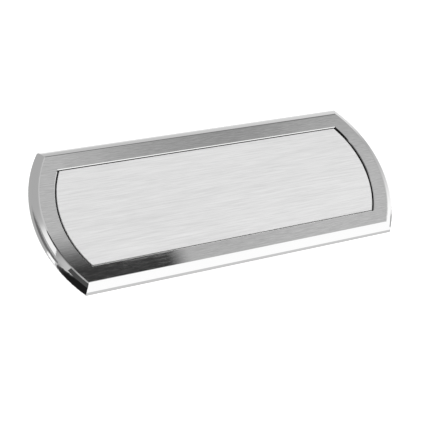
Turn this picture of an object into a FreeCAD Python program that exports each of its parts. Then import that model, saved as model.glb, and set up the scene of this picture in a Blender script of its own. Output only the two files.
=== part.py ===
import FreeCAD, Part
import math
import os
import Sketcher

# Rocker blotter without a knob. Millimetres. +X runs along the plate, -Y is the side with the
# catch, +Y the side with the hinge, and z = 0 is the lowest line of the curved blotting paper.

os.makedirs("parts", exist_ok=True)
doc = FreeCAD.newDocument("rocker_blotter")

# ---------------------------------------------------------------- driving dimensions

SIZES = {
    # plan of the top plate: straight long sides and bowed short ends
    "half_straight": 78.0,
    "half_width": 35.0,
    "end_bulge": 12.0,
    # levels
    "deck_level": 10.4,
    "frame_base": 11.4,
    "frame_thickness": 4.1,
    # rim section: a fine crease at the land, a slope, and a roll down to a short wall
    "rim_width": 4.0,
    "rim_drop": 1.4,
    "roll_radius": 3.0,
    "crease_radius": 2.0,
    "lower_radius": 0.4,
    # window, its bevelled lip, and the inlay in it
    "land_side": 7.3,
    "land_end": 7.1,
    "window_depth": 1.5,
    "window_lip": 0.3,
    "reveal_side": 0.4,
    "reveal_end": 0.8,
    "film_thickness": 0.15,
    "film_setback": 0.8,
    "inlay_thickness": 1.0,
    "inlay_bevel": 0.12,
    # pressure plate in the underside of the frame
    "plate_half_length": 72.0,
    "plate_half_width": 29.4,
    "plate_thickness": 1.2,
    "plate_clearance": 0.15,
    "plate_corner": 2.0,
    # rubber strips over the paper's tails
    "strip_width": 8.0,
    "strip_offset": 66.0,
    "strip_half_length": 27.0,
    # rocker base
    "block_half_length": 74.0,
    "block_half_width": 29.0,
    "rocking_radius": 520.0,
    "paper_thickness": 0.4,
    "felt_thickness": 1.2,
    "paper_half_width": 28.0,
    "tail_start": 60.0,
    "deck_corner": 1.0,
    "wrap_corner": 1.0,
    "felt_half_width": 28.6,
    # hinge along the +Y side
    "pin_across": 31.2,
    "pin_level": 9.7,
    "pin_radius": 0.75,
    "running_gap": 0.05,
    "knuckle_radius": 1.5,
    "knuckle_length": 20.0,
    "knuckle_gap": 0.15,
    "pin_head_radius": 1.1,
    "pin_head_length": 0.5,
    "leaf_thickness": 0.7,
    "leaf_start": 19.0,
    "leaf_notch": 29.4,
    # spring catch and strike plate on the -Y side
    "clip_half_width": 6.0,
    "clip_thickness": 0.4,
    "clip_start": 14.0,
    "clip_across": 31.0,
    "clip_foot": 7.0,
    "clip_bead": 0.6,
    "clip_bead_level": 7.8,
    "strike_half_width": 14.0,
    "strike_thickness": 0.6,
    "strike_foot": 5.8,
    "strike_top": 10.2,
    "strike_bead": 0.6,
    "strike_bead_level": 9.1,
    "nail_lip_reach": 31.8,
    "nail_lip_half_width": 5.0,
    "nail_lip_thickness": 0.6,
    # where the screws stand
    "plate_screw_along": 54.0,
    "plate_screw_across": 26.3,
    "leaf_screw_outer": 40.0,
    "leaf_screw_inner": 14.0,
    "leaf_screw_across": 24.9,
    "clip_screw_along": 3.5,
    "clip_screw_across": 19.0,
    "strike_screw_along": 11.0,
    "strike_screw_level": 8.0,
    # small screws: head radius and height, shank radius, length overall, driver slot
    "plate_screw_head": 1.9,
    "plate_screw_head_height": 0.9,
    "plate_screw_shank": 1.0,
    "plate_screw_length": 3.0,
    "leaf_screw_head": 1.35,
    "leaf_screw_head_height": 0.6,
    "leaf_screw_shank": 0.7,
    "leaf_screw_length": 3.2,
    "wood_screw_length": 5.0,
    "clip_screw_head": 1.5,
    "clip_screw_head_height": 0.45,
    "clip_screw_shank": 0.8,
    "clip_screw_length": 2.9,
    "slot_width": 0.4,
    "slot_depth": 0.25,
    "hole_gap": 0.05,
    # how far a cutting shape runs past the piece that it cuts
    "overshoot": 1.0,
}

sheet = doc.addObject("Spreadsheet::Sheet", "dims")
for row, (alias, number) in enumerate(SIZES.items(), start=1):
    sheet.set(f"A{row}", alias)
    sheet.set(f"B{row}", str(number))
    sheet.setAlias(f"B{row}", alias)
doc.recompute()

SUB_PARTS = []


def sub_part(obj, label):
    """Marks the object as one piece of the blotter, under its own name."""
    obj.Label = label
    SUB_PARTS.append(obj)
    return obj


def dim(expression):
    """The expression with every driving dimension read from the sheet."""
    words = []
    for word in expression.replace("(", " ( ").replace(")", " ) ").split():
        words.append(f"dims.{word}" if word in SIZES else word)
    return " ".join(words).replace("sqrt (", "sqrt(")


def bind(obj, **expressions):
    """Binds properties to expressions. x, y and z stand for the object's position."""
    for prop, expression in expressions.items():
        target = f"Placement.Base.{prop}" if prop in ("x", "y", "z") else prop
        obj.setExpression(target, dim(expression))


# ---------------------------------------------------------------- shape helpers

def box(name, x, y, z):
    """A box between two expressions along each axis."""
    made = doc.addObject("Part::Box", name)
    bind(made, x=x[0], y=y[0], z=z[0])
    bind(made, Length=f"( {x[1]} ) - ( {x[0]} )")
    bind(made, Width=f"( {y[1]} ) - ( {y[0]} )")
    bind(made, Height=f"( {z[1]} ) - ( {z[0]} )")
    return made


TURN = {
    "+Z": FreeCAD.Rotation(),
    "-Z": FreeCAD.Rotation(FreeCAD.Vector(1, 0, 0), 180),
    "+X": FreeCAD.Rotation(FreeCAD.Vector(0, 1, 0), 90),
    "+Y": FreeCAD.Rotation(FreeCAD.Vector(1, 0, 0), -90),
}


def rod(name, radius, length, x, y, z, along="+Z"):
    """A cylinder that starts at x, y, z and runs along an axis."""
    made = doc.addObject("Part::Cylinder", name)
    made.Placement = FreeCAD.Placement(FreeCAD.Vector(), TURN[along])
    bind(made, Radius=radius, Height=length, x=x, y=y, z=z)
    return made


def cone(name, start_radius, end_radius, length, x, y, z, along="+Z"):
    """A cone that starts at x, y, z and runs along an axis."""
    made = doc.addObject("Part::Cone", name)
    made.Placement = FreeCAD.Placement(FreeCAD.Vector(), TURN[along])
    bind(made, Radius1=start_radius, Radius2=end_radius, Height=length, x=x, y=y, z=z)
    return made


def fuse(name, shapes):
    made = doc.addObject("Part::MultiFuse", name)
    made.Shapes = shapes
    made.Refine = True
    return made


def cut(name, base, tools):
    """The base with every tool taken away from it."""
    made = doc.addObject("Part::Cut", name)
    made.Base = base
    made.Tool = tools[0] if len(tools) == 1 else fuse(name + "_tools", tools)
    return made


def group(name, solids):
    """Separate solids that share one node."""
    made = doc.addObject("Part::Compound", name)
    made.Links = solids
    return made


def place(obj, x, y, z, along):
    """Stands a finished piece at x, y, z with its own axis along a direction."""
    obj.Placement = FreeCAD.Placement(FreeCAD.Vector(), TURN[along])
    bind(obj, x=x, y=y, z=z)
    return obj


def screw(name, kind, x, y, z, along, length=None, cheese=False):
    """A slotted screw. Its head starts at x, y, z and it runs along the given direction."""
    head_radius, head_height = f"{kind}_screw_head", f"{kind}_screw_head_height"
    shank_radius = f"{kind}_screw_shank"
    tip_radius = head_radius if cheese else shank_radius
    parts = [
        cone(f"{name}_head", head_radius, tip_radius, head_height, "0", "0", "0")
        if not cheese
        else rod(f"{name}_head", head_radius, head_height, "0", "0", "0"),
        rod(f"{name}_shank", shank_radius, length or f"{kind}_screw_length", "0", "0", "0"),
    ]
    slot = box(
        f"{name}_slot",
        (f"- {head_radius} - overshoot", f"{head_radius} + overshoot"),
        ("- slot_width / 2", "slot_width / 2"),
        ("- overshoot", "slot_depth"),
    )
    return place(cut(name, fuse(f"{name}_blank", parts), [slot]), x, y, z, along)


def screw_hole(name, kind, x, y, z, along, length=None):
    """The countersunk hole that a screw of this kind sits in."""
    shank_radius = f"{kind}_screw_shank + hole_gap"
    parts = [
        cone(f"{name}_seat", f"{kind}_screw_head + hole_gap", shank_radius,
             f"{kind}_screw_head_height", "0", "0", "0"),
        rod(f"{name}_drill", shank_radius, length or f"{kind}_screw_length + hole_gap",
            "0", "0", "0"),
    ]
    return place(fuse(name, parts), x, y, z, along)


# ---------------------------------------------------------------- plate plan sketches

END_RADIUS = "( half_width ^ 2 + end_bulge ^ 2 ) / ( 2 * end_bulge )"
END_CENTRE = f"( half_straight + end_bulge - {END_RADIUS} )"


def origin_plane(body, role):
    return [f for f in body.Origin.OriginFeatures if f.Role == role][0]


def new_sketch(body, name, role):
    sketch = body.newObject("Sketcher::SketchObject", name)
    sketch.AttachmentSupport = [(origin_plane(body, role), "")]
    sketch.MapMode = "FlatFace"
    return sketch


def plan_sketch(body, name, level, side_inset="0", end_inset="0"):
    """The tonneau outline of the plate, moved in by the two insets, at one level."""
    sketch = new_sketch(body, name, "XY_Plane")
    hs, hw, bulge = SIZES["half_straight"], SIZES["half_width"], SIZES["end_bulge"]
    near_left = FreeCAD.Vector(-hs, -hw, 0)
    near_right = FreeCAD.Vector(hs, -hw, 0)
    far_right = FreeCAD.Vector(hs, hw, 0)
    far_left = FreeCAD.Vector(-hs, hw, 0)
    right_tip = FreeCAD.Vector(hs + bulge, 0, 0)
    left_tip = FreeCAD.Vector(-hs - bulge, 0, 0)
    near = sketch.addGeometry(Part.LineSegment(near_left, near_right))
    right = sketch.addGeometry(Part.Arc(near_right, right_tip, far_right))
    far = sketch.addGeometry(Part.LineSegment(far_right, far_left))
    left = sketch.addGeometry(Part.Arc(far_left, left_tip, near_left))
    start, end = 1, 2
    corners = [(near, end, right, start), (right, end, far, start)]
    corners += [(far, end, left, start), (left, end, near, start)]
    for corner in corners:
        sketch.addConstraint(Sketcher.Constraint("Coincident", *corner))
    origin = (-1, 1)
    sketch.addConstraint(Sketcher.Constraint("Horizontal", near))
    sketch.addConstraint(Sketcher.Constraint("Symmetric", near, start, far, start, *origin))
    sketch.addConstraint(Sketcher.Constraint("Symmetric", near, end, far, end, *origin))
    sketch.addConstraint(Sketcher.Constraint("Vertical", near, end, far, start))
    radius = f"( {END_RADIUS} - ( {end_inset} ) )"
    half_across = f"( half_width - ( {side_inset} ) )"
    half_along = f"( {END_CENTRE} + sqrt ( {radius} ^ 2 - {half_across} ^ 2 ) )"
    driven = [
        ("along", ("DistanceX", near, start, near, end, 2 * hs), f"2 * {half_along}"),
        ("across", ("DistanceY", near, end, far, start, 2 * hw), f"2 * {half_across}"),
        ("right_radius", ("Radius", right, (hw**2 + bulge**2) / (2 * bulge)), radius),
        ("left_radius", ("Radius", left, (hw**2 + bulge**2) / (2 * bulge)), radius),
    ]
    for label, constraint, expression in driven:
        index = sketch.addConstraint(Sketcher.Constraint(*constraint))
        sketch.renameConstraint(index, label)
        sketch.setExpression(f"Constraints.{label}", dim(expression))
    sketch.setExpression("AttachmentOffset.Base.z", dim(level))
    return sketch


def pad(body, name, sketch, length, midplane=False):
    made = body.newObject("PartDesign::Pad", name)
    made.Profile = sketch
    made.Midplane = midplane
    made.setExpression("Length", dim(length))
    return made


def pocket_down(body, name, sketch, depth):
    """A pocket that cuts from the sketch towards -Z."""
    made = body.newObject("PartDesign::Pocket", name)
    made.Profile = sketch
    made.setExpression("Length", dim(depth))
    return made


def pocket_up(body, name, sketch, depth):
    """A pocket that cuts from the sketch towards +Z."""
    made = pocket_down(body, name, sketch, depth)
    made.Reversed = True
    return made


def value(expression):
    """The number that an expression of driving dimensions has now."""
    return float(sheet.evalExpression(dim(expression)))


def edges_where(shape, wanted):
    """The names of the edges whose bounding box passes the test."""
    found = []
    for number, edge in enumerate(shape.Edges, start=1):
        if wanted(edge.BoundBox):
            found.append(f"Edge{number}")
    return found


def level_ring(shape, level, reach):
    """The edges that lie flat at a level and come out at least to a distance across."""
    def wanted(b):
        flat = abs(b.ZMin - level) < 1e-4 and abs(b.ZMax - level) < 1e-4
        return flat and max(abs(b.YMin), abs(b.YMax)) > reach - 1e-3
    return edges_where(shape, wanted)


# ---------------------------------------------------------------- levels shared by several pieces

FRAME_TOP = "frame_base + frame_thickness"
WINDOW_FLOOR = f"( {FRAME_TOP} - window_depth )"
LEAF_UNDER = "( frame_base - leaf_thickness )"
CLIP_UNDER = "( frame_base - clip_thickness )"
PAPER_TOP = "( deck_level + paper_thickness )"
FELT_RADIUS = "rocking_radius - paper_thickness"
BLOCK_RADIUS = "rocking_radius - paper_thickness - felt_thickness"


# ---------------------------------------------------------------- where screws stand

BOTH = (("left", "-"), ("right", ""))

PLATE_SCREWS = []
for side, sign in BOTH:
    for edge, across in (("near", "-"), ("far", "")):
        PLATE_SCREWS.append((
            f"plate_{side}_{edge}", f"{sign} plate_screw_along", f"{across} plate_screw_across"))

LEAF_SCREWS = []
for side, sign in BOTH:
    for spot in ("outer", "inner"):
        LEAF_SCREWS.append((f"{side}_{spot}", f"{sign} leaf_screw_{spot}"))

CLIP_SCREWS = [(f"clip_{side}", f"{sign} clip_screw_along") for side, sign in BOTH]
STRIKE_SCREWS = [(f"strike_{side}", f"{sign} strike_screw_along") for side, sign in BOTH]


def plate_holes(owner):
    """The holes of the four screws that hold the pressure plate to the frame."""
    return [screw_hole(f"{owner}_hole_{name}", "plate", x, y, "frame_base", "+Z")
            for name, x, y in PLATE_SCREWS]


def top_leaf_holes(owner):
    return [screw_hole(f"{owner}_hole_{name}", "leaf", x, "leaf_screw_across", LEAF_UNDER, "+Z")
            for name, x in LEAF_SCREWS]


def base_leaf_holes(owner):
    return [screw_hole(f"{owner}_hole_{name}", "leaf", x, "leaf_screw_across", "deck_level", "-Z",
                       "wood_screw_length + hole_gap")
            for name, x in LEAF_SCREWS]


def clip_holes(owner):
    """Plain drilled holes for the two cheese-head screws of the spring catch."""
    return [rod(f"{owner}_hole_{name}", "clip_screw_shank + hole_gap", "clip_screw_length",
                x, "- clip_screw_across", f"{CLIP_UNDER} - clip_screw_head_height")
            for name, x in CLIP_SCREWS]


def strike_holes(owner):
    return [screw_hole(f"{owner}_hole_{name}", "leaf", x,
                       "- block_half_width - strike_thickness", "strike_screw_level", "+Y",
                       "wood_screw_length + hole_gap")
            for name, x in STRIKE_SCREWS]


# ---------------------------------------------------------------- top plate

def bezel_frame():
    """The plated tray: sloping rolled rim, flat land, window above and plate recess below."""
    body = doc.addObject("PartDesign::Body", "frame")
    plan = plan_sketch(body, "frame_plan", "frame_base")
    blank = pad(body, "frame_blank", plan, "frame_thickness")
    doc.recompute()

    slope = body.newObject("PartDesign::Chamfer", "rim_slope")
    slope.Base = (blank, level_ring(blank.Shape, value(FRAME_TOP), SIZES["half_width"]))
    slope.ChamferType = "Two distances"
    slope.FlipDirection = True
    slope.setExpression("Size", dim("rim_width"))
    slope.setExpression("Size2", dim("rim_drop"))
    doc.recompute()

    roll = body.newObject("PartDesign::Fillet", "rim_roll")
    shoulder = value(f"{FRAME_TOP} - rim_drop")
    roll.Base = (slope, level_ring(slope.Shape, shoulder, SIZES["half_width"]))
    roll.setExpression("Radius", dim("roll_radius"))
    doc.recompute()

    crease = body.newObject("PartDesign::Fillet", "rim_crease")
    land_reach = SIZES["half_width"] - SIZES["rim_width"]
    crease.Base = (roll, level_ring(roll.Shape, value(FRAME_TOP), land_reach))
    crease.setExpression("Radius", dim("crease_radius"))
    doc.recompute()

    under = body.newObject("PartDesign::Fillet", "rim_underside")
    under.Base = (crease, level_ring(crease.Shape, SIZES["frame_base"], SIZES["half_width"]))
    under.setExpression("Radius", dim("lower_radius"))
    doc.recompute()

    window_plan = plan_sketch(body, "window_plan", FRAME_TOP, "rim_width + land_side",
                              "rim_width + land_end")
    window = pocket_down(body, "window", window_plan, "window_depth")
    doc.recompute()
    lip = body.newObject("PartDesign::Chamfer", "window_lip")
    half_window = value("half_width - rim_width - land_side")
    top_edges = level_ring(window.Shape, value(FRAME_TOP), half_window)
    land_edges = level_ring(window.Shape, value(FRAME_TOP), half_window + SIZES["land_side"] / 2)
    lip.Base = (window, [edge for edge in top_edges if edge not in land_edges])
    lip.setExpression("Size", dim("window_lip"))
    doc.recompute()

    recess_plan = rectangle_sketch(body, "plate_recess_plan", "frame_base",
                                   "plate_half_length + plate_clearance",
                                   "plate_half_width + plate_clearance")
    pocket_up(body, "plate_recess", recess_plan, "plate_thickness")
    doc.recompute()
    holes = plate_holes("frame") + top_leaf_holes("frame") + clip_holes("frame")
    return sub_part(cut("drilled_frame", body, holes), "bezel_frame")


def rectangle_sketch(body, name, level, half_along, half_across):
    """A rectangle centred on the origin, at one level."""
    sketch = new_sketch(body, name, "XY_Plane")
    x, y = value(half_along), value(half_across)
    corners = [FreeCAD.Vector(*c, 0) for c in ((-x, -y), (x, -y), (x, y), (-x, y))]
    lines = []
    for first, second in zip(corners, corners[1:] + corners[:1]):
        lines.append(sketch.addGeometry(Part.LineSegment(first, second)))
    near, right, far, left = lines
    for first, second in zip(lines, lines[1:] + lines[:1]):
        sketch.addConstraint(Sketcher.Constraint("Coincident", first, 2, second, 1))
    for line in (near, far):
        sketch.addConstraint(Sketcher.Constraint("Horizontal", line))
    for line in (right, left):
        sketch.addConstraint(Sketcher.Constraint("Vertical", line))
    sketch.addConstraint(Sketcher.Constraint("Symmetric", near, 1, far, 1, -1, 1))
    driven = [
        ("along", ("DistanceX", near, 1, near, 2, 2 * x), f"2 * ( {half_along} )"),
        ("across", ("DistanceY", right, 1, right, 2, 2 * y), f"2 * ( {half_across} )"),
    ]
    for label, constraint, expression in driven:
        index = sketch.addConstraint(Sketcher.Constraint(*constraint))
        sketch.renameConstraint(index, label)
        sketch.setExpression(f"Constraints.{label}", dim(expression))
    sketch.setExpression("AttachmentOffset.Base.z", dim(level))
    return sketch


def brushed_inlay():
    """The brushed plate in the window, with a fine bevel round its face."""
    body = doc.addObject("PartDesign::Body", "inlay")
    level = f"{WINDOW_FLOOR} + film_thickness"
    plan = plan_sketch(body, "inlay_plan", level, "rim_width + land_side + reveal_side",
                       "rim_width + land_end + reveal_end")
    blank = pad(body, "inlay_blank", plan, "inlay_thickness")
    doc.recompute()
    bevel = body.newObject("PartDesign::Chamfer", "inlay_edge")
    reach = value("half_width - rim_width - land_side - reveal_side")
    bevel.Base = (blank, level_ring(blank.Shape, value(f"{level} + inlay_thickness"), reach))
    bevel.setExpression("Size", dim("inlay_bevel"))
    return sub_part(body, "brushed_inlay")


def inlay_adhesive():
    """The thin bonding film between the inlay and the window's floor."""
    body = doc.addObject("PartDesign::Body", "film")
    plan = plan_sketch(body, "film_plan", WINDOW_FLOOR,
                       "rim_width + land_side + reveal_side + film_setback",
                       "rim_width + land_end + reveal_end + film_setback")
    pad(body, "film_sheet", plan, "film_thickness")
    return sub_part(body, "inlay_adhesive")


def pressure_plate():
    """The steel plate that closes the frame from below and presses the paper's tails."""
    body = doc.addObject("PartDesign::Body", "plate")
    plan = rectangle_sketch(body, "plate_plan", "frame_base", "plate_half_length",
                            "plate_half_width")
    blank = pad(body, "plate_blank", plan, "plate_thickness")
    doc.recompute()
    rounded = body.newObject("PartDesign::Fillet", "plate_corners")
    rounded.Base = (blank, edges_where(blank.Shape, lambda b: b.ZLength > 0.5))
    rounded.setExpression("Radius", dim("plate_corner"))
    holes = plate_holes("plate") + top_leaf_holes("plate") + clip_holes("plate")
    return sub_part(cut("drilled_plate", body, holes), "pressure_plate")


def clamp_strip(side, sign):
    """A rubber strip bonded under the pressure plate, over one tail of the paper."""
    strip = box(
        f"strip_{side}",
        (f"{sign} strip_offset - strip_width / 2", f"{sign} strip_offset + strip_width / 2"),
        ("- strip_half_length", "strip_half_length"),
        ("deck_level + paper_thickness", "frame_base"),
    )
    return sub_part(strip, f"clamp_strip_{side}")


# ---------------------------------------------------------------- hinge

KNUCKLES = 5


def knuckle_span(number):
    """Where one knuckle starts and ends along the pin, counted from the left."""
    start = f"( {number} - {KNUCKLES} / 2 ) * knuckle_length + knuckle_gap / 2"
    return start, f"{start} + knuckle_length - knuckle_gap"


def hinge_leaf(name, numbers, low, high, bore, holes):
    """A flat leaf with its own knuckles, notched where the other leaf's knuckles turn."""
    half = f"{KNUCKLES} * knuckle_length / 2"
    parts = [box(f"{name}_flat", (f"- {half}", half), ("leaf_start", "leaf_notch"), (low, high))]
    for number in numbers:
        start, end = knuckle_span(number)
        parts.append(box(f"{name}_tongue_{number}", (start, end), ("leaf_notch", "pin_across"),
                         (low, high)))
        parts.append(rod(f"{name}_knuckle_{number}", "knuckle_radius",
                         "knuckle_length - knuckle_gap", start, "pin_across", "pin_level", "+X"))
    drill = rod(f"{name}_bore", bore, f"2 * {half} + 2 * overshoot", f"- {half} - overshoot",
                "pin_across", "pin_level", "+X")
    return cut(name, fuse(f"{name}_blank", parts), [drill] + holes)


def hinge_pin():
    half = f"{KNUCKLES} * knuckle_length / 2"
    parts = [
        rod("pin_shaft", "pin_radius", f"2 * {half}", f"- {half}", "pin_across", "pin_level", "+X"),
        rod("pin_left_head", "pin_head_radius", "pin_head_length",
            f"- {half} - pin_head_length", "pin_across", "pin_level", "+X"),
        rod("pin_right_head", "pin_head_radius", "pin_head_length", half, "pin_across",
            "pin_level", "+X"),
    ]
    return sub_part(fuse("headed_pin", parts), "hinge_pin")


# ---------------------------------------------------------------- rocker base

def rocker_solid(name, radius, outset, half_across, deck, lower_corner):
    """A block with a flat deck, upright ends and an arc for its underside."""
    body = doc.addObject("PartDesign::Body", name)
    sketch = new_sketch(body, f"{name}_profile", "XZ_Plane")
    arc_radius, half = value(radius), value(f"block_half_length + {outset}")
    top, centre = value(deck), value("rocking_radius")
    end_level = centre - math.sqrt(arc_radius**2 - half**2)
    left_low, right_low = FreeCAD.Vector(-half, end_level, 0), FreeCAD.Vector(half, end_level, 0)
    lowest = FreeCAD.Vector(0, centre - arc_radius, 0)
    left_high, right_high = FreeCAD.Vector(-half, top, 0), FreeCAD.Vector(half, top, 0)
    arc = sketch.addGeometry(Part.Arc(left_low, lowest, right_low))
    right = sketch.addGeometry(Part.LineSegment(right_low, right_high))
    deck_line = sketch.addGeometry(Part.LineSegment(right_high, left_high))
    left = sketch.addGeometry(Part.LineSegment(left_high, left_low))
    loop = [arc, right, deck_line, left]
    for first, second in zip(loop, loop[1:] + loop[:1]):
        sketch.addConstraint(Sketcher.Constraint("Coincident", first, 2, second, 1))
    for line in (right, left):
        sketch.addConstraint(Sketcher.Constraint("Vertical", line))
    sketch.addConstraint(Sketcher.Constraint("Symmetric", deck_line, 1, deck_line, 2, -2))
    driven = [
        ("length", ("DistanceX", left, 1, right, 2, 2 * half),
         f"2 * ( block_half_length + {outset} )"),
        ("deck", ("DistanceY", -1, 1, deck_line, 1, top), deck),
        ("centre", ("DistanceY", -1, 1, arc, 3, centre), "rocking_radius"),
        ("radius", ("Radius", arc, arc_radius), radius),
    ]
    for label, constraint, expression in driven:
        index = sketch.addConstraint(Sketcher.Constraint(*constraint))
        sketch.renameConstraint(index, label)
        sketch.setExpression(f"Constraints.{label}", dim(expression))
    solid = pad(body, f"{name}_pad", sketch, f"2 * {half_across}", midplane=True)
    doc.recompute()

    deck_edges = edges_where(solid.Shape, lambda b: abs(b.ZMin - top) < 1e-4 and b.YLength > 1)
    corner = body.newObject("PartDesign::Fillet", f"{name}_deck_corner")
    corner.Base = (solid, deck_edges)
    corner.setExpression("Radius", dim(f"deck_corner + {outset}"))
    doc.recompute()
    if lower_corner:
        low = edges_where(corner.Shape, lambda b: abs(b.ZMin - end_level) < 1e-3
                          and b.ZLength < 1e-3 and b.YLength > 1)
        wrapped = body.newObject("PartDesign::Fillet", f"{name}_wrap_corner")
        wrapped.Base = (corner, low)
        wrapped.setExpression("Radius", dim(f"wrap_corner + {outset}"))
        doc.recompute()
    return body


def rocker_block():
    """The hardwood base, recessed for the hinge leaf and drilled for its screws."""
    block = rocker_solid("block", BLOCK_RADIUS, "0", "block_half_width", "deck_level", False)
    half = f"{KNUCKLES} * knuckle_length / 2 + hole_gap"
    recess = box("leaf_recess", (f"- {half}", half),
                 ("leaf_start - hole_gap", "block_half_width + overshoot"),
                 ("deck_level - leaf_thickness", "deck_level + overshoot"))
    tools = [recess] + base_leaf_holes("block") + strike_holes("block")
    return sub_part(cut("drilled_block", block, tools), "rocker_block")


def felt_cushion():
    """The felt under the wood, as long as the block and a little narrower."""
    core = rocker_solid("felt_core", FELT_RADIUS, "0", "felt_half_width", "deck_level", True)
    lower = box("felt_zone", ("- block_half_length", "block_half_length"),
                ("- felt_half_width", "felt_half_width"),
                ("0", "deck_level - deck_corner - overshoot"))
    zone = doc.addObject("Part::Common", "felt_blank")
    zone.Base = core
    zone.Tool = lower
    block = rocker_solid("felt_block", BLOCK_RADIUS, "0", "block_half_width", "deck_level", False)
    return sub_part(cut("felt_sheet", zone, [block]), "felt_cushion")


def blotting_paper():
    """The paper strip: under the felt, up both ends and back over the deck."""
    outer = rocker_solid("paper_outer", "rocking_radius", "paper_thickness", "paper_half_width",
                         PAPER_TOP, True)
    core = rocker_solid("paper_core", FELT_RADIUS, "0", "block_half_width", "deck_level", True)
    open_deck = box("open_deck", ("- tail_start", "tail_start"),
                    ("- block_half_width", "block_half_width"),
                    ("deck_level - overshoot", "deck_level + overshoot"))
    return sub_part(cut("paper_strip", outer, [core, open_deck]), "blotting_paper")


# ---------------------------------------------------------------- spring catch

def spring_catch():
    """A spring-steel angle with a rolled bead that snaps under the strike plate's bead."""
    half = ("- clip_half_width", "clip_half_width")
    parts = [
        box("clip_flange", half, ("- clip_across", "- clip_start"), (CLIP_UNDER, "frame_base")),
        box("clip_leg", half, ("- clip_across", "- clip_across + clip_thickness"),
            ("clip_foot", "frame_base")),
        rod("clip_roll", "clip_bead", "2 * clip_half_width", "- clip_half_width",
            "- clip_across + clip_thickness", "clip_bead_level", "+X"),
    ]
    trim = box("clip_trim", ("- clip_half_width - overshoot", "clip_half_width + overshoot"),
               ("- clip_across - overshoot", "- clip_across"),
               ("clip_foot - overshoot", "frame_base"))
    return sub_part(cut("clip", fuse("clip_blank", parts), [trim] + clip_holes("clip")),
                    "spring_catch")


def strike_plate():
    """The plate on the block's near face: a bead for the catch and a lip for a fingernail."""
    face = "- block_half_width - strike_thickness"
    half = ("- strike_half_width", "strike_half_width")
    parts = [
        box("strike_face", half, (face, "- block_half_width"), ("strike_foot", "strike_top")),
        rod("strike_roll", "strike_bead", "2 * clip_half_width", "- clip_half_width", face,
            "strike_bead_level", "+X"),
        box("nail_lip", ("- nail_lip_half_width", "nail_lip_half_width"),
            ("- nail_lip_reach", face), ("strike_foot", "strike_foot + nail_lip_thickness")),
    ]
    behind = box("strike_trim", half, ("- block_half_width", "- block_half_width + overshoot"),
                 ("strike_foot", "strike_top"))
    tools = [behind] + strike_holes("strike")
    return sub_part(cut("strike", fuse("strike_blank", parts), tools), "strike_plate")


# ---------------------------------------------------------------- assembly

bezel_frame()
brushed_inlay()
inlay_adhesive()
pressure_plate()
for side, sign in BOTH:
    clamp_strip(side, sign)
plate_screws = [screw(f"screw_{name}", "plate", x, y, "frame_base", "+Z")
                for name, x, y in PLATE_SCREWS]
sub_part(group("plate_screws", plate_screws), "pressure_plate_screws")

top_leaf = hinge_leaf("top_leaf", (0, 2, 4), LEAF_UNDER, "frame_base", "pin_radius",
                      top_leaf_holes("top_leaf"))
sub_part(top_leaf, "hinge_leaf_top")
top_screws = [screw(f"top_screw_{name}", "leaf", x, "leaf_screw_across", LEAF_UNDER, "+Z")
              for name, x in LEAF_SCREWS]
sub_part(group("top_leaf_screws", top_screws), "hinge_leaf_top_screws")
hinge_pin()
spring_catch()
clip_screws = [screw(f"screw_{name}", "clip", x, "- clip_screw_across",
                     f"{CLIP_UNDER} - clip_screw_head_height", "+Z", cheese=True)
               for name, x in CLIP_SCREWS]
sub_part(group("clip_screws", clip_screws), "spring_catch_screws")

rocker_block()
felt_cushion()
blotting_paper()
base_leaf = hinge_leaf("base_leaf", (1, 3), "deck_level - leaf_thickness", "deck_level",
                       "pin_radius + running_gap", base_leaf_holes("base_leaf"))
sub_part(base_leaf, "hinge_leaf_base")
base_screws = [screw(f"base_screw_{name}", "leaf", x, "leaf_screw_across", "deck_level", "-Z",
                     "wood_screw_length")
               for name, x in LEAF_SCREWS]
sub_part(group("base_leaf_screws", base_screws), "hinge_leaf_base_screws")
strike_plate()
strike_screws = [screw(f"screw_{name}", "leaf", x, "- block_half_width - strike_thickness",
                       "strike_screw_level", "+Y", "wood_screw_length")
                 for name, x in STRIKE_SCREWS]
sub_part(group("strike_screws", strike_screws), "strike_plate_screws")

doc.recompute()

# ---------------------------------------------------------------- checks and export

broken = [o.Name for o in doc.Objects if {"Invalid", "Error"} & set(o.State)]
if broken:
    raise SystemExit(f"objects that failed to recompute: {broken}")
for obj in SUB_PARTS:
    if obj.Shape.isNull() or not obj.Shape.isValid():
        raise SystemExit(f"{obj.Label} has no valid shape")
    b = obj.Shape.optimalBoundingBox(True, False)
    spans = ((b.XMin, b.XMax), (b.YMin, b.YMax), (b.ZMin, b.ZMax))
    places = "  ".join(f"{low:7.2f} {high:7.2f}" for low, high in spans)
    print(f"{obj.Label:24s} solids {len(obj.Shape.Solids)}  volume {obj.Shape.Volume:9.2f}  {places}")
for obj in SUB_PARTS:
    obj.Shape.exportStep(f"parts/{obj.Label}.step")
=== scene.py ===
import math

import bmesh
import bpy
from mathutils import Matrix, Vector, noise

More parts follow.
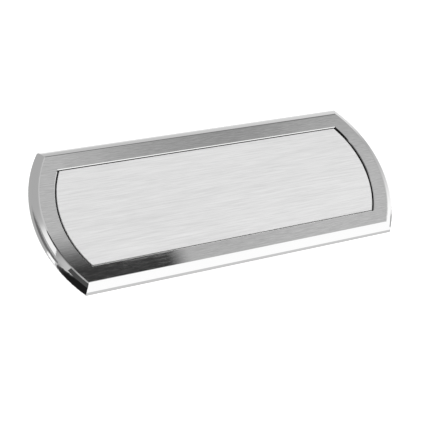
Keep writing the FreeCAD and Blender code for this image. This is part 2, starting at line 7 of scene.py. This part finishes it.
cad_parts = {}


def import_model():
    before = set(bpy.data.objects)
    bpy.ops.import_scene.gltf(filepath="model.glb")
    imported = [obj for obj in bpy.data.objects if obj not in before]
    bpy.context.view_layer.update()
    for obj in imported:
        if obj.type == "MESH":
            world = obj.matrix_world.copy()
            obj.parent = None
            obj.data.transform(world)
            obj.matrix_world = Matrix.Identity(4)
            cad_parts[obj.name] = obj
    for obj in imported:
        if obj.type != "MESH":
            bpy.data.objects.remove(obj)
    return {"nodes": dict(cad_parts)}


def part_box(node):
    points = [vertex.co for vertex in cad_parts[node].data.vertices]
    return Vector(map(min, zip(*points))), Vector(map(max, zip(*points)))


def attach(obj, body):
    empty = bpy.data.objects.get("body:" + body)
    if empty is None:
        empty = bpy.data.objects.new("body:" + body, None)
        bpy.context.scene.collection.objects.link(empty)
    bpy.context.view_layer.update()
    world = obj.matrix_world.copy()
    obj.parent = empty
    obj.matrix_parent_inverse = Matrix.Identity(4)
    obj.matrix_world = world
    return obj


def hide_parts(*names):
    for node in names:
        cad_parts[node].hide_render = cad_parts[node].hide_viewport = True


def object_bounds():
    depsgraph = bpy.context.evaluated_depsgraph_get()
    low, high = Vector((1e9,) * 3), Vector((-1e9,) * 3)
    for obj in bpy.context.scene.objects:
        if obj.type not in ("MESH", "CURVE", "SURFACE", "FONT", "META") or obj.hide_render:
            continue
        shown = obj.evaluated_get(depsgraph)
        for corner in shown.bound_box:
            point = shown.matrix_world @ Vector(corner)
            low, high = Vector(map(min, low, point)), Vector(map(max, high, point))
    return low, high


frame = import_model()
cad_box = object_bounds()

# ---------------------------------------------------------------- places read from the frame

MM = 0.001
LAND_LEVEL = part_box("bezel_frame")[1][2]
LIP_DEPTH = 0.31 * MM
BLOCK_LOW, BLOCK_HIGH = (Vector(c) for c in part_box("rocker_block"))
FELT_LOW, FELT_HIGH = (Vector(c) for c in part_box("felt_cushion"))
PAPER_HIGH = Vector(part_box("blotting_paper")[1])


# ---------------------------------------------------------------- node helpers

class Graph:
    """A material's node tree, with short calls for the nodes used here."""

    def __init__(self, name, shader="ShaderNodeBsdfPrincipled"):
        self.material = bpy.data.materials.new(name)
        self.material.use_nodes = True
        self.tree = self.material.node_tree
        self.tree.nodes.clear()
        self.shader = self.tree.nodes.new(shader)
        output = self.tree.nodes.new("ShaderNodeOutputMaterial")
        self.tree.links.new(self.shader.outputs[0], output.inputs["Surface"])
        self.place = self.tree.nodes.new("ShaderNodeTexCoord").outputs["Object"]

    def put(self, socket, value):
        """Links an output to the socket, or sets the socket's own value."""
        if isinstance(value, bpy.types.NodeSocket):
            self.tree.links.new(value, socket)
        else:
            socket.default_value = value

    def set(self, **values):
        """Sets the shader's sockets; an underscore in a name stands for a space."""
        for name, value in values.items():
            self.put(self.shader.inputs[name.replace("_", " ")], value)

    def math(self, operation, *values, clamp=False):
        node = self.tree.nodes.new("ShaderNodeMath")
        node.operation = operation
        node.use_clamp = clamp
        for socket, value in zip(node.inputs, values):
            self.put(socket, value)
        return node.outputs[0]

    def scaled(self, x, y, z):
        """Object coordinates scaled along each axis, in cycles per metre."""
        node = self.tree.nodes.new("ShaderNodeMapping")
        self.put(node.inputs["Vector"], self.place)
        node.inputs["Scale"].default_value = (x, y, z)
        return node.outputs[0]

    def noise(self, where, detail=3.0, roughness=0.55, distortion=0.0):
        node = self.tree.nodes.new("ShaderNodeTexNoise")
        self.put(node.inputs["Vector"], where)
        node.inputs["Scale"].default_value = 1.0
        node.inputs["Detail"].default_value = detail
        node.inputs["Roughness"].default_value = roughness
        node.inputs["Distortion"].default_value = distortion
        return node.outputs["Fac"]

    def spread(self, value, low, high, from_low=0.0, from_high=1.0, smooth=False):
        """Maps a value from one range to another."""
        node = self.tree.nodes.new("ShaderNodeMapRange")
        node.interpolation_type = "SMOOTHSTEP" if smooth else "LINEAR"
        for name, number in (("From Min", from_low), ("From Max", from_high),
                             ("To Min", low), ("To Max", high)):
            node.inputs[name].default_value = number
        self.put(node.inputs["Value"], value)
        return node.outputs[0]

    def blend(self, factor, first, second):
        """A colour between two colours."""
        node = self.tree.nodes.new("ShaderNodeMix")
        node.data_type = "RGBA"
        self.put(node.inputs[0], factor)
        self.put(node.inputs[6], first)
        self.put(node.inputs[7], second)
        return node.outputs[2]

    def mixed(self, factor, first, second):
        """A number between two numbers."""
        node = self.tree.nodes.new("ShaderNodeMix")
        node.data_type = "FLOAT"
        self.put(node.inputs[0], factor)
        self.put(node.inputs[2], first)
        self.put(node.inputs[3], second)
        return node.outputs[0]

    def bump(self, height, depth, under=None):
        """A bump whose full height is a depth in metres."""
        node = self.tree.nodes.new("ShaderNodeBump")
        node.inputs["Strength"].default_value = 1.0
        node.inputs["Distance"].default_value = depth
        self.put(node.inputs["Height"], height)
        if under is not None:
            self.put(node.inputs["Normal"], under)
        return node.outputs["Normal"]

    def within(self, value, low, high, soft):
        """1 between two limits and 0 outside them, with soft edges centred on the limits."""
        rise = self.spread(value, 0.0, 1.0, low - soft / 2, low + soft / 2, smooth=True)
        fall = self.spread(value, 1.0, 0.0, high - soft / 2, high + soft / 2, smooth=True)
        return self.math("MULTIPLY", rise, fall)

    def axis(self, letter, source=None):
        """One coordinate of the place, or of another vector."""
        node = self.tree.nodes.new("ShaderNodeSeparateXYZ")
        self.put(node.inputs[0], source or self.place)
        return node.outputs[letter]

    def lengthwise(self):
        """The part's long direction, wherever its body has turned."""
        node = self.tree.nodes.new("ShaderNodeVectorTransform")
        node.vector_type = "VECTOR"
        node.convert_from = "OBJECT"
        node.convert_to = "WORLD"
        node.inputs[0].default_value = (1.0, 0.0, 0.0)
        return node.outputs[0]

    def geometry(self, output):
        return self.tree.nodes.new("ShaderNodeNewGeometry").outputs[output]


def grey(value):
    """A neutral colour."""
    return (value, value, value, 1.0)


def dress(node, material):
    """Gives a CAD node its finished material."""
    obj = frame["nodes"][node]
    if not obj.material_slots:
        obj.data.materials.append(material)
    for slot in obj.material_slots:
        slot.material = material


# ---------------------------------------------------------------- metals

def rim_chrome():
    """Bright plate on the rim and a finer satin grain on the flat border round the window, with
    painted shade: the window's walls and floor below the lip are coloured near black.
    """
    g = Graph("rim_chrome")
    upright = g.math("GREATER_THAN", g.axis("Z", g.geometry("True Normal")), 0.9995)
    on_top = g.math("GREATER_THAN", g.axis("Z"), LAND_LEVEL - 0.02 * MM)
    land = g.math("MULTIPLY", upright, on_top)
    grain = g.noise(g.scaled(220, 3200, 3200), detail=2.0)
    cloud = g.noise(g.scaled(45, 60, 60), detail=3.0)
    hair = g.noise(g.scaled(160, 2000, 2000), detail=3.0, roughness=0.7)
    rough_land = g.spread(hair, 0.01, 0.07, 0.3, 0.7)
    rough_rim = g.spread(cloud, 0.004, 0.02)
    # Painted shade: below the lip, the window's walls and floor get a near-black colour and a matt
    # finish, standing for the shadow in the gap round the inlay.
    recess_shade = window_shade_mask(g)
    rough = g.mixed(land, rough_rim, rough_land)
    g.set(Metallic=1.0, Roughness=g.mixed(recess_shade, rough, 0.55))
    tone_land = g.blend(g.spread(hair, 0.0, 1.0, 0.3, 0.7), grey(0.70), grey(0.92))
    tone = g.blend(land, grey(0.93), tone_land)
    # Painted shade: grey 0.10 inside the window.
    g.set(Base_Color=g.blend(recess_shade, tone, grey(0.10)))
    waves = g.bump(g.noise(g.scaled(28, 28, 28), detail=1.0), 0.02 * MM)
    g.set(Normal=g.bump(grain, 0.0008 * MM, under=waves))
    return g.material


def window_shade_mask(g):
    """1 on the walls and floor of the inlay's window, below its bevelled lip: the mask of the
    painted shade there.
    """
    (left, near, _), (right, far, _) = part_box("brushed_inlay")
    margin = 1.5 * MM
    along = g.within(g.axis("X"), left - margin, right + margin, 0.1 * MM)
    across = g.within(g.axis("Y"), near - margin, far + margin, 0.1 * MM)
    low = g.math("LESS_THAN", g.axis("Z"), LAND_LEVEL - LIP_DEPTH)
    return g.math("MULTIPLY", g.math("MULTIPLY", along, across), low)


def brushed_plate():
    """Fine straight brushing along the plate's length."""
    g = Graph("brushed_plate")
    hair = g.noise(g.scaled(70, 2600, 900), detail=3.0, roughness=0.7)
    streak = g.noise(g.scaled(45, 1300, 300), detail=2.0, roughness=0.6)
    band = g.noise(g.scaled(6, 380, 100), detail=2.0)
    patch = g.noise(g.scaled(14, 40, 40), detail=2.0)
    tone = g.spread(hair, -0.50, 0.50, 0.3, 0.7)
    tone = g.math("ADD", tone, g.spread(streak, -0.18, 0.18, 0.3, 0.7))
    tone = g.math("ADD", tone, g.spread(band, -0.07, 0.07, 0.3, 0.7))
    tone = g.math("ADD", tone, g.spread(patch, -0.08, 0.08, 0.3, 0.7))
    g.set(Base_Color=g.blend(g.math("ADD", tone, 0.5, clamp=True), grey(0.84), grey(1.0)))
    g.set(Metallic=0.36, Roughness=g.spread(streak, 0.34, 0.48, 0.3, 0.7))
    g.set(Anisotropic=0.6, Tangent=g.lengthwise())
    g.set(Normal=g.bump(hair, 0.0015 * MM))
    return g.material


def plated_steel(name, tone, rough, grain_along=40.0, grain_across=1800.0):
    """Pressed or sheet steel with rolling grain and faint handling marks."""
    g = Graph(name)
    grain = g.noise(g.scaled(grain_along, grain_across, grain_across), detail=3.0)
    cloud = g.noise(g.scaled(90, 90, 90), detail=4.0)
    worn = g.math("ADD", g.spread(grain, -0.5, 0.5), g.spread(cloud, 0.0, 1.0), clamp=True)
    g.set(Base_Color=g.blend(worn, grey(tone * 0.82), grey(tone)))
    g.set(Metallic=1.0, Roughness=g.spread(cloud, rough * 0.75, rough * 1.3))
    g.set(Normal=g.bump(grain, 0.003 * MM))
    return g.material


def turned_steel(name, tone, rough):
    """Screw steel, turned and lightly passivated."""
    g = Graph(name)
    speck = g.noise(g.scaled(2600, 2600, 2600), detail=2.0)
    g.set(Base_Color=g.blend(speck, grey(tone * 0.8), grey(tone)))
    g.set(Metallic=1.0, Roughness=g.spread(speck, rough * 0.8, rough * 1.3))
    g.set(Normal=g.bump(speck, 0.004 * MM))
    return g.material


# ---------------------------------------------------------------- soft and grown materials

def matt_rubber():
    g = Graph("matt_rubber")
    speck = g.noise(g.scaled(3000, 3000, 3000), detail=3.0)
    bloom = g.noise(g.scaled(160, 160, 160), detail=2.0)
    g.set(Base_Color=g.blend(bloom, (0.016, 0.016, 0.017, 1), (0.035, 0.034, 0.034, 1)))
    g.set(Roughness=g.spread(speck, 0.62, 0.85), Normal=g.bump(speck, 0.012 * MM))
    return g.material


def bonding_film():
    g = Graph("bonding_film")
    weave = g.noise(g.scaled(1400, 1400, 1400), detail=2.0)
    g.set(Base_Color=g.blend(weave, grey(0.18), grey(0.26)))
    g.set(Roughness=0.6, Normal=g.bump(weave, 0.01 * MM))
    return g.material


def stained_hardwood():
    """Dark walnut: long figure, fine open pores and a thin satin lacquer."""
    g = Graph("stained_hardwood")
    figure = g.noise(g.scaled(11, 150, 190), detail=4.0, roughness=0.6, distortion=0.6)
    fibre = g.noise(g.scaled(60, 2400, 2400), detail=3.0, roughness=0.65)
    pores = g.noise(g.scaled(190, 3400, 3400), detail=1.0)
    pit = g.spread(pores, 1.0, 0.0, from_low=0.26, from_high=0.36, smooth=True)
    tone = g.math("ADD", g.spread(figure, -0.2, 1.0), g.spread(fibre, -0.18, 0.18), clamp=True)
    wood = g.blend(tone, (0.052, 0.024, 0.012, 1), (0.175, 0.085, 0.042, 1))
    g.set(Base_Color=g.blend(pit, wood, (0.018, 0.009, 0.005, 1)))
    g.set(Roughness=g.spread(fibre, 0.32, 0.5))
    g.set(Coat_Weight=0.25, Coat_Roughness=0.22)
    relief = g.math("SUBTRACT", g.math("MULTIPLY", fibre, 0.35), pit)
    g.set(Normal=g.bump(relief, 0.03 * MM))
    return g.material


def wool_felt():
    """Pressed wool felt: matted short fibres with slight mottling."""
    g = Graph("wool_felt")
    fibre = g.noise(g.scaled(1500, 1500, 1500), detail=5.0, roughness=0.75, distortion=1.2)
    clump = g.noise(g.scaled(260, 260, 260), detail=3.0)
    tone = g.math("ADD", g.spread(fibre, -0.4, 0.6), g.spread(clump, 0.0, 0.6), clamp=True)
    g.set(Base_Color=g.blend(tone, (0.022, 0.047, 0.032, 1), (0.06, 0.11, 0.078, 1)))
    g.set(Roughness=0.95, Sheen_Weight=0.35, Sheen_Roughness=0.5)
    g.set(Normal=g.bump(fibre, 0.12 * MM))
    return g.material


def blotting_stock():
    """Soft unsized paper: cloudy formation, short fibres and a fuzzy matt surface."""
    g = Graph("blotting_stock")
    cloud = g.noise(g.scaled(170, 170, 170), detail=4.0, roughness=0.6)
    fibre = g.noise(g.scaled(1900, 1900, 1900), detail=4.0, roughness=0.7, distortion=1.5)
    tone = g.math("ADD", g.spread(cloud, 0.0, 0.75), g.spread(fibre, -0.15, 0.35), clamp=True)
    g.set(Base_Color=g.blend(tone, (0.70, 0.68, 0.61, 1), (0.84, 0.83, 0.77, 1)))
    g.set(Roughness=0.93, Sheen_Weight=0.12, Sheen_Roughness=0.6)
    g.set(Normal=g.bump(fibre, 0.05 * MM))
    return g.material


def dress_cad_nodes():
    nickel = plated_steel("nickel_plate", 0.74, 0.20)
    zinc = plated_steel("zinc_sheet", 0.58, 0.34, grain_along=25.0, grain_across=1200.0)
    spring = plated_steel("spring_temper", 0.42, 0.26)
    bright = turned_steel("bright_screw", 0.70, 0.22)
    rubber = matt_rubber()
    dress("bezel_frame", rim_chrome())
    dress("brushed_inlay", brushed_plate())
    dress("inlay_adhesive", bonding_film())
    dress("pressure_plate", zinc)
    dress("spring_catch", spring)
    for node in ("hinge_leaf_top", "hinge_leaf_base", "hinge_pin", "strike_plate"):
        dress(node, nickel)
    for node in ("pressure_plate_screws", "hinge_leaf_top_screws", "hinge_leaf_base_screws",
                 "spring_catch_screws", "strike_plate_screws"):
        dress(node, bright)
    for node in ("clamp_strip_left", "clamp_strip_right"):
        dress(node, rubber)
    dress("rocker_block", stained_hardwood())


dress_cad_nodes()


# ---------------------------------------------------------------- felt and blotting paper

ROCKING_RADIUS = 520 * MM
PAPER_THICKNESS = PAPER_HIGH.x - FELT_HIGH.x
FELT_THICKNESS = BLOCK_LOW.z - FELT_LOW.z
DECK_LEVEL = BLOCK_HIGH.z
CORNER = 1.0 * MM
TAIL_START = 60 * MM
PAPER_STEP = 0.9 * MM


def arc_level(x, drop):
    """The height of the rocking arc at x, raised by a drop from the paper's face."""
    radius = ROCKING_RADIUS - drop
    return ROCKING_RADIUS - math.sqrt(radius * radius - x * x)


def mesh_piece(name, rows, material):
    """A closed skin over equal rings of points, as a piece that rides on the base."""
    mesh = bpy.data.meshes.new(name)
    shape = bmesh.new()
    rings = [[shape.verts.new(point) for point in row] for row in rows]
    for ring, following in zip(rings, rings[1:]):
        for k in range(len(ring)):
            j = (k + 1) % len(ring)
            shape.faces.new((ring[k], ring[j], following[j], following[k]))
    shape.faces.new(rings[0])
    shape.faces.new(rings[-1])
    bmesh.ops.recalc_face_normals(shape, faces=shape.faces)
    shape.to_mesh(mesh)
    shape.free()
    mesh.shade_smooth()
    mesh.materials.append(material)
    obj = bpy.data.objects.new(name, mesh)
    bpy.context.scene.collection.objects.link(obj)
    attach(obj, "rocker_base")
    return obj


def ruffle(x, y, z, size, depth):
    """A small steady unevenness, the same on every run."""
    return depth * noise.noise(Vector((x, y, z)) / size)


def felt_ring(x):
    """The felt's section at x: two faces joined by soft, slightly ragged cut sides."""
    top, low = arc_level(x, PAPER_THICKNESS + FELT_THICKNESS), arc_level(x, PAPER_THICKNESS)
    low += end_wrap(x)
    middle, reach = (top + low) / 2, (top - low) / 2
    flat = FELT_HIGH.y - FELT_THICKNESS / 2
    ring = []
    for side in (1, -1):
        for k in range(17):
            ring.append((x, side * flat * (k / 8 - 1), middle + side * reach))
        for k in range(1, 8):
            angle = math.pi * (0.5 - k / 8)
            z = middle + side * reach * math.sin(angle)
            bulge = FELT_THICKNESS / 2 * math.cos(angle)
            ragged = abs(ruffle(x, side, z, 1.1 * MM, 0.12 * MM))
            ring.append((x, side * (flat + bulge - ragged), z))
    return ring


def end_wrap(x):
    """How far the felt's lower face is rounded up near its two ends."""
    past = max(0.0, abs(x) - (FELT_HIGH.x - CORNER))
    return CORNER - math.sqrt(max(0.0, CORNER * CORNER - past * past))


def felt_cushion():
    """Pressed felt glued under the wood."""
    steps = 240
    rows = [felt_ring(FELT_HIGH.x * (2 * k / steps - 1)) for k in range(steps + 1)]
    obj = mesh_piece("felt_cushion_soft", rows, wool_felt())
    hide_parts("felt_cushion")
    return obj


def paper_line():
    """The middle line of the paper's section, from the left tail's end to the right one's."""
    mid = PAPER_THICKNESS / 2
    outer_x = FELT_HIGH.x + mid
    deck = DECK_LEVEL + mid
    low = arc_level(FELT_HIGH.x, mid)
    bend = CORNER + mid
    slope = math.asin(FELT_HIGH.x / ROCKING_RADIUS)
    half_turn = (math.pi / 2 - slope) / 2
    line = []
    reach = TAIL_START
    while reach < outer_x - bend:
        line.append((reach, deck))
        reach += PAPER_STEP
    for k in range(9):
        angle = math.radians(90 - 90 * k / 8)
        line.append((outer_x - bend + bend * math.cos(angle), deck - bend + bend * math.sin(angle)))
    touch = low + bend * math.tan(half_turn)
    level = deck - bend - PAPER_STEP
    while level > touch:
        line.append((outer_x, level))
        level -= PAPER_STEP
    for k in range(9):
        angle = -2 * half_turn * k / 8
        line.append((outer_x - bend + bend * math.cos(angle), touch + bend * math.sin(angle)))
    reach = line[-1][0] - PAPER_STEP
    while reach > PAPER_STEP / 2:
        line.append((reach, arc_level(reach, mid)))
        reach -= PAPER_STEP
    left = [(-x, z) for x, z in line]
    return left + [(0.0, mid)] + line[::-1]


def outward(line, k):
    """The direction across the paper at one point of its middle line."""
    before, after = line[max(k - 1, 0)], line[min(k + 1, len(line) - 1)]
    dx, dz = after[0] - before[0], after[1] - before[1]
    length = math.hypot(dx, dz)
    return dz / length, -dx / length


def paper_ring(line, k):
    """The paper's section at one point of its line: two faces and two faintly frayed edges."""
    x, z = line[k]
    nx, nz = outward(line, k)
    half, strips = PAPER_HIGH.y, 36
    body = half - 0.12 * MM
    ring = []
    for side in (-1, 1):
        for j in range(strips + 1):
            y = side * body * (1 - 2 * j / strips)
            lift = side * 0.47 * PAPER_THICKNESS + ruffle(x, y, z, 5 * MM, 0.008 * MM)
            ring.append((x + nx * lift, y, z + nz * lift))
        frayed = abs(ruffle(x, side, z, 0.8 * MM, 0.08 * MM))
        ring.append((x, side * (frayed - half), z))
    return ring


def blotting_paper():
    """One strip of blotting paper, under the felt, up both ends and back over the wood."""
    line = paper_line()
    rows = [paper_ring(line, k) for k in range(len(line))]
    obj = mesh_piece("blotting_paper_strip", rows, blotting_stock())
    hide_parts("blotting_paper")
    return obj


felt_cushion()
blotting_paper()


# ---------------------------------------------------------------- studio

DOME_RADIUS = 20.0
CARD_HEIGHT = 1.2
FLAG_NEAR, FLAG_FAR = 0.44, 0.485
FLAG_LEVEL = 0.045
FLOOR_HALF = 6.0
WHITE, PALE, LIGHT, MIDDLE, DARK, BLACK = 1.05, 0.62, 0.52, 0.42, 0.07, 0.012

# Soft panels of the studio's tent, as the metal sees them. Each has a range of bearings from +X
# and a range of elevations, in degrees, with the width of its soft edge and its brightness.
# Bearings run from -90 to 270, and a later panel lies over an earlier one.
PANELS = [
    ("near floor", (-90, -35), (-90, 0), 8, PALE),
    ("right wall", (15, 60), (5, 50), 15, LIGHT),
    ("far wall", (25, 95), (0, 50), 5, MIDDLE),
    ("far floor line", (30, 95), (-5, 20), 8, 0.78),
    ("ceiling", (20, 185), (45, 100), 8, 0.58),
    ("far ceiling", (37, 53), (35, 55), 12, 0.35),
    ("skylight", (125, 160), (60, 75), 5, 0.95),
    ("far gap", (35, 70), (27, 44), 8, 0.18),
    ("left wall", (90, 180), (-40, 60), 12, MIDDLE),
    ("left gap", (145, 185), (8, 45), 12, 0.15),
    ("left lamp", (175, 185), (-25, 15), 5, WHITE),
    ("doorway", (185, 245), (-40, 90), 5, DARK),
    ("doorway top", (155, 190), (70, 90), 8, DARK),
    ("doorway floor", (190, 245), (-35, 80), 8, BLACK),
    ("corner stand", (-20, 5), (-10, 10), 5, 0.25),
]


def place_in_studio(obj):
    """Keeps a studio object out of everything but reflections."""
    bpy.context.scene.collection.objects.link(obj)
    obj.visible_camera = False
    obj.visible_diffuse = False
    obj.visible_shadow = False
    obj.visible_transmission = False
    return obj


def glowing(name):
    """A plain glow that the metal reflects, left out of the direct light."""
    g = Graph(name, "ShaderNodeEmission")
    g.material.cycles.emission_sampling = "NONE"
    return g


def tent():
    """A large dome whose inside carries the soft panels."""
    mesh = bpy.data.meshes.new("tent")
    shape = bmesh.new()
    bmesh.ops.create_icosphere(shape, subdivisions=5, radius=DOME_RADIUS)
    shape.to_mesh(mesh)
    shape.free()
    g = glowing("tent_panels")
    x, y, z = (g.axis(letter) for letter in "XYZ")
    turned = g.math("ARCTAN2", g.math("MULTIPLY", x, -1.0), y)
    bearing = g.math("ADD", g.math("DEGREES", turned), 90.0)
    height = g.math("DIVIDE", z, DOME_RADIUS, clamp=False)
    elevation = g.math("DEGREES", g.math("ARCSINE", height))
    level = WHITE
    for _, bearings, elevations, soft, strength in PANELS:
        covered = g.math("MULTIPLY", g.within(bearing, *bearings, soft),
                         g.within(elevation, *elevations, soft))
        level = g.mixed(covered, level, strength)
    g.set(Strength=level)
    mesh.materials.append(g.material)
    return place_in_studio(bpy.data.objects.new("tent", mesh))


def card(name, across, along, strength, fade=None, fade_axis="Y"):
    """A level rectangle overhead. With a fade, it changes along one axis to another brightness."""
    mesh = bpy.data.meshes.new(name)
    (x0, x1), (y0, y1) = across, along
    corners = [(x, y, CARD_HEIGHT) for x, y in ((x0, y0), (x1, y0), (x1, y1), (x0, y1))]
    mesh.from_pydata(corners, [], [(0, 1, 2, 3)])
    g = glowing(name)
    if fade:
        start, finish, far_strength = fade
        strength = g.spread(g.axis(fade_axis), strength, far_strength, start, finish, smooth=True)
    g.set(Strength=strength)
    mesh.materials.append(g.material)
    return place_in_studio(bpy.data.objects.new(name, mesh))


def overhead_flags():
    """Three plain cards above the far side of the table, which darken the near left corner."""
    card("overhead_flag", (0.30, 0.57), (FLAG_NEAR, FLAG_FAR), FLAG_LEVEL,
         fade=(0.53, 0.57, 0.45), fade_axis="X")
    card("overhead_flag_fade", (0.30, 0.45), (FLAG_FAR, 0.55), 2 * FLAG_LEVEL,
         fade=(FLAG_FAR, 0.55, 0.50))
    card("overhead_flag_tail", (-0.45, 0.30), (0.10, FLAG_FAR), 0.55,
         fade=(0.10, 0.46, FLAG_LEVEL))


def floor():
    """A plain white floor, clear from underneath. The metal reflects the tent's panels instead."""
    mesh = bpy.data.meshes.new("floor")
    corners = [(x * FLOOR_HALF, y * FLOOR_HALF, 0) for x, y in ((-1, -1), (1, -1), (1, 1), (-1, 1))]
    mesh.from_pydata(corners, [], [(0, 1, 2, 3)])
    g = Graph("floor_paper")
    g.set(Base_Color=grey(0.9), Roughness=0.9, Emission_Color=grey(1.0), Emission_Strength=0.75)
    g.set(Alpha=g.math("SUBTRACT", 1.0, g.geometry("Backfacing")))
    mesh.materials.append(g.material)
    obj = bpy.data.objects.new("floor", mesh)
    bpy.context.scene.collection.objects.link(obj)
    obj.location.z = cad_box[0][2] - 0.02 * MM
    obj.visible_glossy = False
    obj.visible_diffuse = False


def world(level):
    """Even white light from all round."""
    w = bpy.data.worlds.new("studio")
    bpy.context.scene.world = w
    w.use_nodes = True
    w.node_tree.nodes["Background"].inputs["Color"].default_value = grey(1.0)
    w.node_tree.nodes["Background"].inputs["Strength"].default_value = level


floor()
world(1.0)
tent()
overhead_flags()


# ---------------------------------------------------------------- camera

CAMERA_ANGLES = (-50.43, 54.25, 33.94)   # azimuth from -Y, elevation and roll, in degrees
CAMERA_TARGET = Vector((-6.78, -9.56, 12.18)) * MM
CAMERA_DISTANCE = 0.510
LENS = 94.7
SENSOR = 36.0


def camera():
    """A short telephoto above the near left corner, rolled so the plate runs across the frame."""
    azimuth, elevation, roll = (math.radians(angle) for angle in CAMERA_ANGLES)
    back = Vector((math.sin(azimuth) * math.cos(elevation),
                   -math.cos(azimuth) * math.cos(elevation), math.sin(elevation)))
    level = Vector((math.cos(azimuth), math.sin(azimuth), 0.0))
    upright = back.cross(level)
    right = level * math.cos(roll) + upright * math.sin(roll)
    up = upright * math.cos(roll) - level * math.sin(roll)
    data = bpy.data.cameras.new("camera")
    data.sensor_width = SENSOR
    data.lens = LENS
    data.clip_start = 0.01
    obj = bpy.data.objects.new("camera", data)
    bpy.context.scene.collection.objects.link(obj)
    turn = Matrix((right, up, back)).transposed().to_4x4()
    obj.matrix_world = Matrix.Translation(CAMERA_TARGET + back * CAMERA_DISTANCE) @ turn
    bpy.context.scene.camera = obj


camera()
bpy.context.scene.view_settings.view_transform = "Standard"
bpy.context.scene.view_settings.look = "None"
